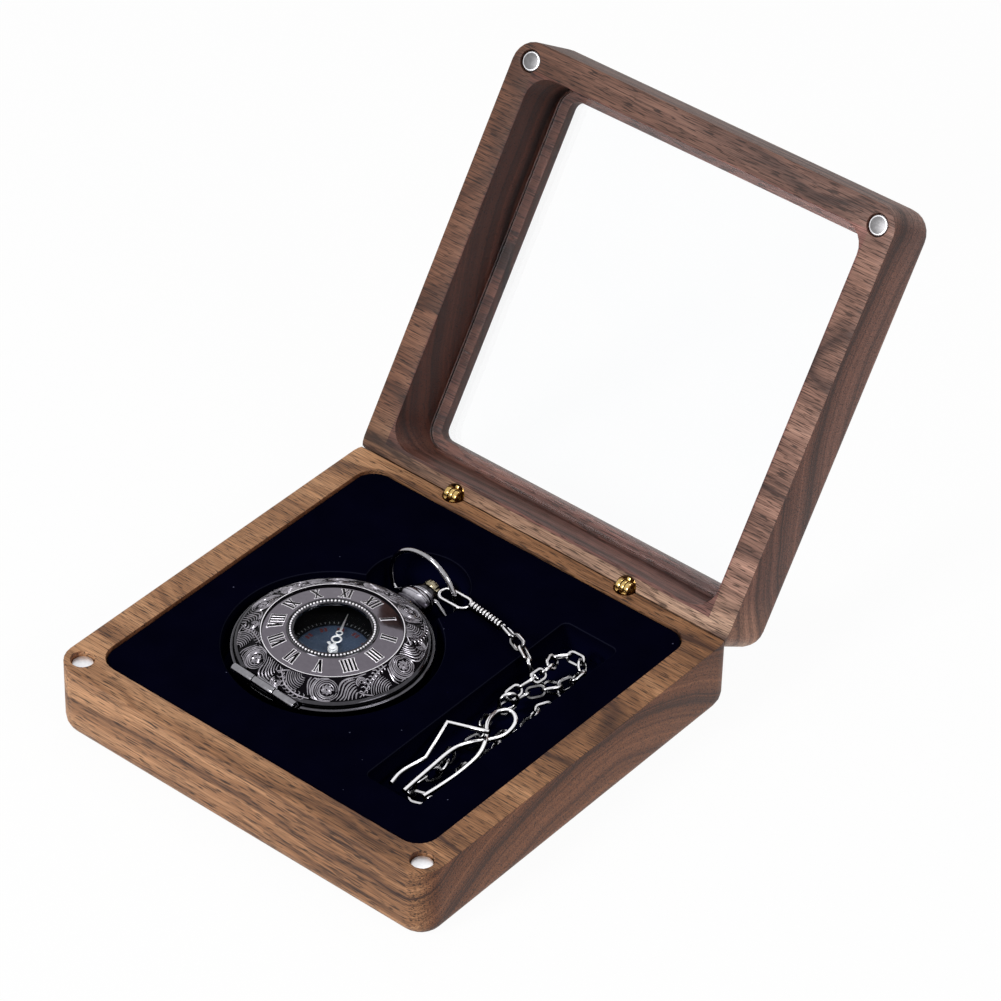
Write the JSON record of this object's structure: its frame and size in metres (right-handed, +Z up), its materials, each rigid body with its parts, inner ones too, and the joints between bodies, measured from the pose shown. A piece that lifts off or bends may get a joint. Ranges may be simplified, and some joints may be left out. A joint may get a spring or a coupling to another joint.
{
  "type": "pocket watch display box",
  "caption": "Walnut display box with a glazed hinged lid, open, its velvet recess holding a half-hunter pocket watch whose chain and belt clip lie in a side tray.",
  "frame": {"origin": "centre of the base's flat underside", "axes": "+Z up, +Y towards the hinge, +X along the hinge line to the right as seen from the front"},
  "size_m": [0.11, 0.1764, 0.1085],
  "materials": {
    "walnut": "satin oiled",
    "velvet": "flocked pile",
    "foam": "closed-cell foam",
    "glass": "clear",
    "brass": "polished",
    "magnet_steel": "nickel plated",
    "gunmetal": "black nickel plate, polished",
    "silver": "silvered",
    "dial": "satin"
  },
  "bodies": {
    "base": {"base_frame": "walnut", "foam_insert": "foam", "velvet_lining": "velvet", "base_magnet_left": "magnet_steel", "base_magnet_right": "magnet_steel", "hinge_left_base_barrel": "brass", "hinge_right_base_barrel": "brass", "hinge_left_pin": "brass", "hinge_right_pin": "brass"},
    "lid": {"lid_frame": "walnut", "glass_pane": "glass", "lid_magnet_left": "magnet_steel", "lid_magnet_right": "magnet_steel", "hinge_left_lid_barrel": "brass", "hinge_right_lid_barrel": "brass"},
    "watch": {"watch_case_back": "gunmetal", "watch_case_middle": "gunmetal", "watch_movement": "brass", "watch_dial": "dial", "watch_bezel": "gunmetal", "watch_crystal": "glass", "cover_hinge_pin": "gunmetal", "chain_clasp": "gunmetal", "chain_spring": "gunmetal", "watch_chain": "gunmetal", "jump_ring": "gunmetal", "belt_clip": "gunmetal", "belt_clip_bar": "gunmetal"},
    "cover": {"watch_cover": "gunmetal", "cover_window": "glass"},
    "bow": {"bow": "gunmetal"},
    "stem": {"winding_stem": "magnet_steel"},
    "crown": {"crown": "gunmetal"},
    "minute_hand": {"minute_hand": "silver"},
    "hour_hand": {"hour_hand": "silver"}
  },
  "joints": [
    {"name": "lid_hinge", "type": "hinge", "parent": "base", "child": "lid", "pos_m": [0, 0.0508, 0.02015], "axis": [-1, 0, 0], "range_deg": [-122.75, 0]},
    {"name": "watch_lift", "type": "slide", "parent": "base", "child": "watch", "axis": [0, 0, 1], "range_m": [0, 0.035]},
    {"name": "cover_hinge", "type": "hinge", "parent": "watch", "child": "cover", "pos_m": [-0.01326, -0.02958, 0.0199], "axis": [0.999, -0.0436, 0], "range_deg": [0, 100]},
    {"name": "bow_swing", "type": "hinge", "parent": "watch", "child": "bow", "pos_m": [-0.01098, 0.02262, 0.01525], "axis": [0.999, -0.0436, 0], "range_deg": [-2.5, 14]},
    {"name": "crown_pull", "type": "slide", "parent": "watch", "child": "stem", "axis": [0.0436, 0.999, 0], "range_m": [0, 0.0008]},
    {"name": "crown_turn", "type": "hinge", "parent": "stem", "child": "crown", "pos_m": [-0.01091, 0.02427, 0.01525], "axis": [0.0436, 0.999, 0], "continuous": true},
    {"name": "minute_hand_turn", "type": "hinge", "parent": "watch", "child": "minute_hand", "pos_m": [-0.0123, -0.0076, 0.0179], "axis": [0, 0, -1], "continuous": true},
    {"name": "hour_hand_turn", "type": "hinge", "parent": "watch", "child": "hour_hand", "pos_m": [-0.0123, -0.0076, 0.0174], "axis": [0, 0, -1], "continuous": true}
  ],
  "couplings": [
    {"joint": "hour_hand_turn", "follows": "minute_hand_turn", "ratio": 0.083333}
  ]
}
